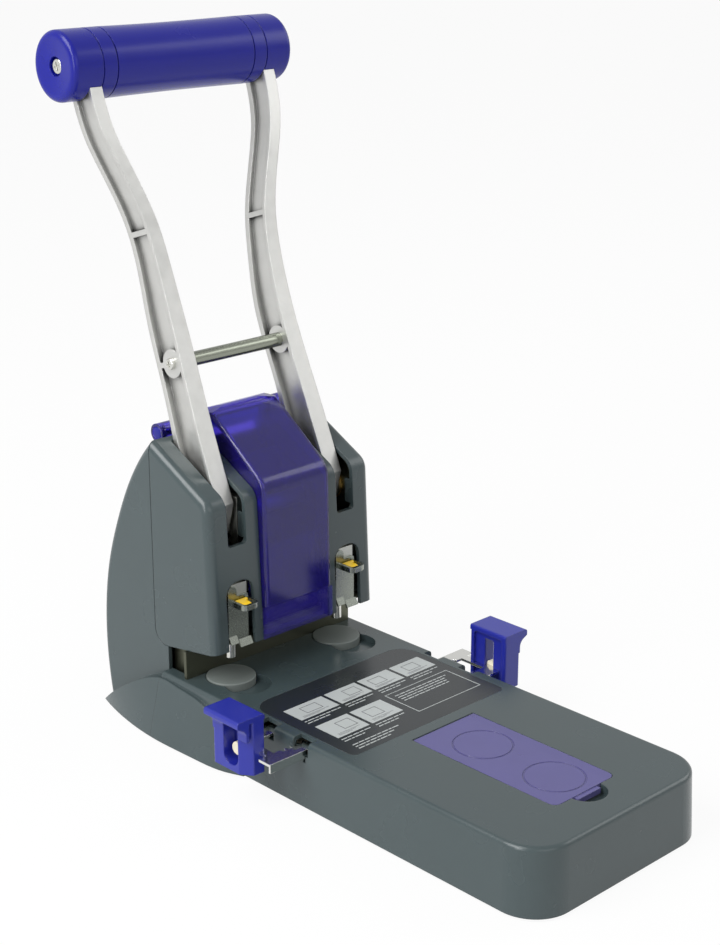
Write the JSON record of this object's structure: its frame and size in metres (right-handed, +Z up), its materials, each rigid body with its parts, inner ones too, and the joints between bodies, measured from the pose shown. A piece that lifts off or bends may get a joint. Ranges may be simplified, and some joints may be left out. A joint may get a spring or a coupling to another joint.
{
  "type": "desk hole punch",
  "caption": "Heavy desk punch: cast lever arms with a round grip drive two rams by racks; flat paper table, hinged centre cover and two self-centring paper guides.",
  "frame": {"origin": "on the table surface, under the middle of the machine's bounding box", "axes": "+X to the operator's right along the line of the two holes, +Y from the operator toward the head, +Z up"},
  "size_m": [0.1966, 0.3585, 0.3854],
  "materials": {
    "shell_grey": "semi-gloss",
    "blue": "gloss",
    "clear_blue": "gloss",
    "clear": "gloss",
    "cast": "satin",
    "steel": "satin",
    "plated": "bright",
    "zinc": "satin",
    "dark_steel": "matt",
    "yellow": "gloss",
    "ivory": "matt",
    "rubber": "matt",
    "label": "satin",
    "brass": "satin",
    "gear": "matt"
  },
  "bodies": {
    "machine": {"base_shell": "shell_grey", "rear_shell": "shell_grey", "head_front_cover": "shell_grey", "spare_discs": "shell_grey", "lower_guard": "clear", "chip_box": "clear", "return_spring_left": "steel", "return_spring_right": "steel", "guide_rods": "steel", "guide_pinion_screw": "plated", "cover_hinge_pins": "plated", "chassis": "dark_steel", "side_frame_left": "dark_steel", "side_frame_right": "dark_steel", "guide_plate": "dark_steel", "back_stop": "dark_steel", "bottom_plate": "dark_steel", "rubber_feet": "rubber", "label_panel": "label", "shaft_bushes": "brass", "guide_retainer": "gear"},
    "lever": {"lever_arm_left": "cast", "lever_arm_right": "cast", "cross_rod": "plated", "cross_rod_screws": "plated", "lever_shaft": "steel", "shaft_spacers": "steel", "handle_barrel": "blue", "handle_cap_left": "blue", "handle_cap_right": "blue", "handle_tie_rod": "plated", "handle_screws": "plated"},
    "ram_left": {"ram_left": "steel", "punch_pin_left": "plated", "clip_bracket_left": "zinc"},
    "tongue_left": {"release_tongue_left": "yellow"},
    "disc_left": {"cutting_disc_left": "shell_grey"},
    "guide_left": {"guide_slide_left": "steel", "guide_block_left": "blue", "guide_stud_left": "ivory"},
    "ram_right": {"ram_right": "steel", "punch_pin_right": "plated", "clip_bracket_right": "zinc"},
    "tongue_right": {"release_tongue_right": "yellow"},
    "disc_right": {"cutting_disc_right": "shell_grey"},
    "guide_right": {"guide_slide_right": "steel", "guide_block_right": "blue", "guide_stud_right": "ivory"},
    "guide_gear": {"guide_pinion": "gear"},
    "cover": {"centre_cover": "clear_blue"},
    "lid": {"spare_disc_lid": "clear_blue"}
  },
  "joints": [
    {"name": "lever_hinge", "type": "hinge", "parent": "machine", "child": "lever", "pos_m": [0, 0.08505, 0.126], "axis": [1, 0, 0], "range_deg": [0, 78], "stiffness_Nm_per_rad": 0.9, "springref_deg": -45.84},
    {"name": "ram_slide_left", "type": "slide", "parent": "machine", "child": "ram_left", "axis": [0, 0, -1], "range_m": [0, 0.0109], "deforming": ["return_spring_left"]},
    {"name": "tongue_hinge_left", "type": "hinge", "parent": "ram_left", "child": "tongue_left", "pos_m": [-0.04, 0.05985, 0.086], "axis": [-1, 0, 0], "range_deg": [0, 60]},
    {"name": "disc_turn_left", "type": "hinge", "parent": "machine", "child": "disc_left", "pos_m": [-0.04, 0.07005, 0.036], "axis": [0, 0, 1], "continuous": true},
    {"name": "ram_slide_right", "type": "slide", "parent": "machine", "child": "ram_right", "axis": [0, 0, -1], "range_m": [0, 0.0109], "deforming": ["return_spring_right"]},
    {"name": "tongue_hinge_right", "type": "hinge", "parent": "ram_right", "child": "tongue_right", "pos_m": [0.04, 0.05985, 0.086], "axis": [-1, 0, 0], "range_deg": [0, 60]},
    {"name": "disc_turn_right", "type": "hinge", "parent": "machine", "child": "disc_right", "pos_m": [0.04, 0.07005, 0.036], "axis": [0, 0, 1], "continuous": true},
    {"name": "guide_slide_left", "type": "slide", "parent": "machine", "child": "guide_left", "axis": [-1, 0, 0], "range_m": [-0.012, 0.045]},
    {"name": "guide_slide_right", "type": "slide", "parent": "machine", "child": "guide_right", "axis": [1, 0, 0], "range_m": [-0.012, 0.045]},
    {"name": "guide_gear_turn", "type": "hinge", "parent": "machine", "child": "guide_gear", "pos_m": [0, -0.00225, 0.0323], "axis": [0, 0, -1], "range_deg": [-75.95, 283.73]},
    {"name": "cover_hinge", "type": "hinge", "parent": "machine", "child": "cover", "pos_m": [0, 0.12205, 0.169], "axis": [-1, 0, 0], "range_deg": [0, 62]},
    {"name": "lid_hinge", "type": "hinge", "parent": "machine", "child": "lid", "pos_m": [0, -0.05595, 0.037], "axis": [-1, 0, 0], "range_deg": [0, 95]}
  ],
  "couplings": [
    {"joint": "ram_slide_left", "follows": "lever_hinge", "m_per_rad": 0.008},
    {"joint": "ram_slide_right", "follows": "lever_hinge", "m_per_rad": 0.008},
    {"joint": "guide_slide_right", "follows": "guide_slide_left", "ratio": 1},
    {"joint": "guide_gear_turn", "follows": "guide_slide_left", "rad_per_m": 109.89}
  ]
}
